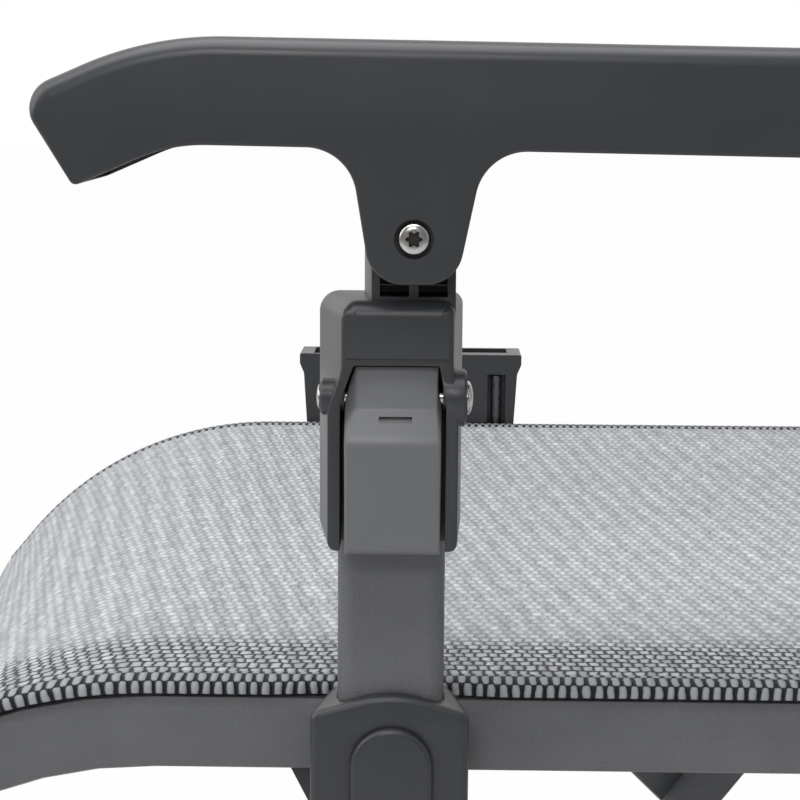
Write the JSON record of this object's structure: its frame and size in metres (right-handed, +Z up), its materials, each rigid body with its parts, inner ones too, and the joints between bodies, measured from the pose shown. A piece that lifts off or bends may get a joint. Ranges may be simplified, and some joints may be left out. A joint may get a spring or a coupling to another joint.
{
  "type": "camping chair",
  "caption": "Folding camping chair with a bent tube frame, woven mesh slings, crossed legs and moulded armrests on posts with flip-lock levers",
  "frame": {"origin": "on the floor, under the middle of the chair's box", "axes": "+Z up, the sitter looks along -Y, the sitter's left is +X"},
  "size_m": [0.608, 0.7126, 1.1475],
  "materials": {
    "powder_coat": "grey powder coat with a fine grain",
    "dark_moulding": "anthracite moulded plastic, fine grain",
    "lever_grey": "mid grey moulded plastic, satin",
    "woven_mesh": "open woven mesh of light grey and black yarn",
    "stainless": "bare stainless steel",
    "foot_rubber": "matt black rubber"
  },
  "bodies": {
    "seat": {"seat_frame": "powder_coat", "seat_sling": "woven_mesh", "seat_rear_bar": "powder_coat", "rail_end_cap_left": "dark_moulding", "back_hinge_bracket_left": "dark_moulding", "back_pivot_bolt_left": "stainless", "post_pivot_bolt_left": "stainless", "front_leg_bracket_left": "dark_moulding", "front_leg_bolt_left": "stainless", "rear_leg_bracket_left": "dark_moulding", "rear_leg_bolt_left": "stainless", "rail_end_cap_right": "dark_moulding", "back_hinge_bracket_right": "dark_moulding", "back_pivot_bolt_right": "stainless", "post_pivot_bolt_right": "stainless", "front_leg_bracket_right": "dark_moulding", "front_leg_bolt_right": "stainless", "rear_leg_bracket_right": "dark_moulding", "rear_leg_bolt_right": "stainless"},
    "back": {"back_frame": "powder_coat", "back_sling": "woven_mesh", "back_cross_bar": "powder_coat", "armrest_clip_left": "dark_moulding", "armrest_rear_pin_left": "stainless", "armrest_clip_right": "dark_moulding", "armrest_rear_pin_right": "stainless"},
    "front_legs": {"front_leg_frame": "powder_coat", "front_foot_left": "foot_rubber", "front_foot_right": "foot_rubber"},
    "rear_legs": {"rear_leg_frame": "powder_coat", "rear_foot_left": "foot_rubber", "rear_foot_right": "foot_rubber"},
    "post_left": {"post_tube_left": "powder_coat", "post_foot_left": "dark_moulding", "foot_tab_left": "dark_moulding", "fork_bracket_left": "dark_moulding", "lever_pin_left": "stainless", "armrest_screw_left": "stainless"},
    "lever_left": {"lock_lever_left": "lever_grey"},
    "armrest_left_body": {"armrest_left": "dark_moulding"},
    "post_right": {"post_tube_right": "powder_coat", "post_foot_right": "dark_moulding", "foot_tab_right": "dark_moulding", "fork_bracket_right": "dark_moulding", "lever_pin_right": "stainless", "armrest_screw_right": "stainless", "side_holder": "dark_moulding", "holder_rod": "stainless"},
    "lever_right": {"lock_lever_right": "lever_grey"},
    "armrest_right_body": {"armrest_right": "dark_moulding"}
  },
  "joints": [
    {"name": "back_fold", "type": "hinge", "parent": "seat", "child": "back", "pos_m": [0, 0.20163, 0.471], "axis": [1, 0, 0], "range_deg": [0, 82]},
    {"name": "post_left_fold", "type": "hinge", "parent": "seat", "child": "post_left", "pos_m": [0.2725, -0.08237, 0.431], "axis": [1, 0, 0], "range_deg": [0, 82]},
    {"name": "armrest_left_tilt", "type": "hinge", "parent": "post_left", "child": "armrest_left_body", "pos_m": [0.301, -0.07607, 0.6067], "axis": [1, 0, 0], "range_deg": [-82, 0]},
    {"name": "lever_left_flip", "type": "hinge", "parent": "post_left", "child": "lever_left", "pos_m": [0.2898, -0.08237, 0.5549], "axis": [0, -1, 0], "range_deg": [0, 60]},
    {"name": "post_right_fold", "type": "hinge", "parent": "seat", "child": "post_right", "pos_m": [-0.2725, -0.08237, 0.431], "axis": [1, 0, 0], "range_deg": [0, 82]},
    {"name": "armrest_right_tilt", "type": "hinge", "parent": "post_right", "child": "armrest_right_body", "pos_m": [-0.301, -0.07607, 0.6067], "axis": [1, 0, 0], "range_deg": [-82, 0]},
    {"name": "lever_right_flip", "type": "hinge", "parent": "post_right", "child": "lever_right", "pos_m": [-0.2898, -0.08237, 0.5549], "axis": [0, 1, 0], "range_deg": [0, 60]},
    {"name": "front_leg_fold", "type": "hinge", "parent": "seat", "child": "front_legs", "pos_m": [0, 0.21563, 0.401], "axis": [-1, 0, 0], "range_deg": [0, 42]},
    {"name": "rear_leg_fold", "type": "hinge", "parent": "seat", "child": "rear_legs", "pos_m": [0, -0.09037, 0.401], "axis": [1, 0, 0], "range_deg": [0, 34]}
  ],
  "couplings": [
    {"joint": "post_left_fold", "follows": "back_fold", "ratio": 1},
    {"joint": "armrest_left_tilt", "follows": "back_fold", "ratio": -1},
    {"joint": "post_right_fold", "follows": "back_fold", "ratio": 1},
    {"joint": "armrest_right_tilt", "follows": "back_fold", "ratio": -1}
  ]
}
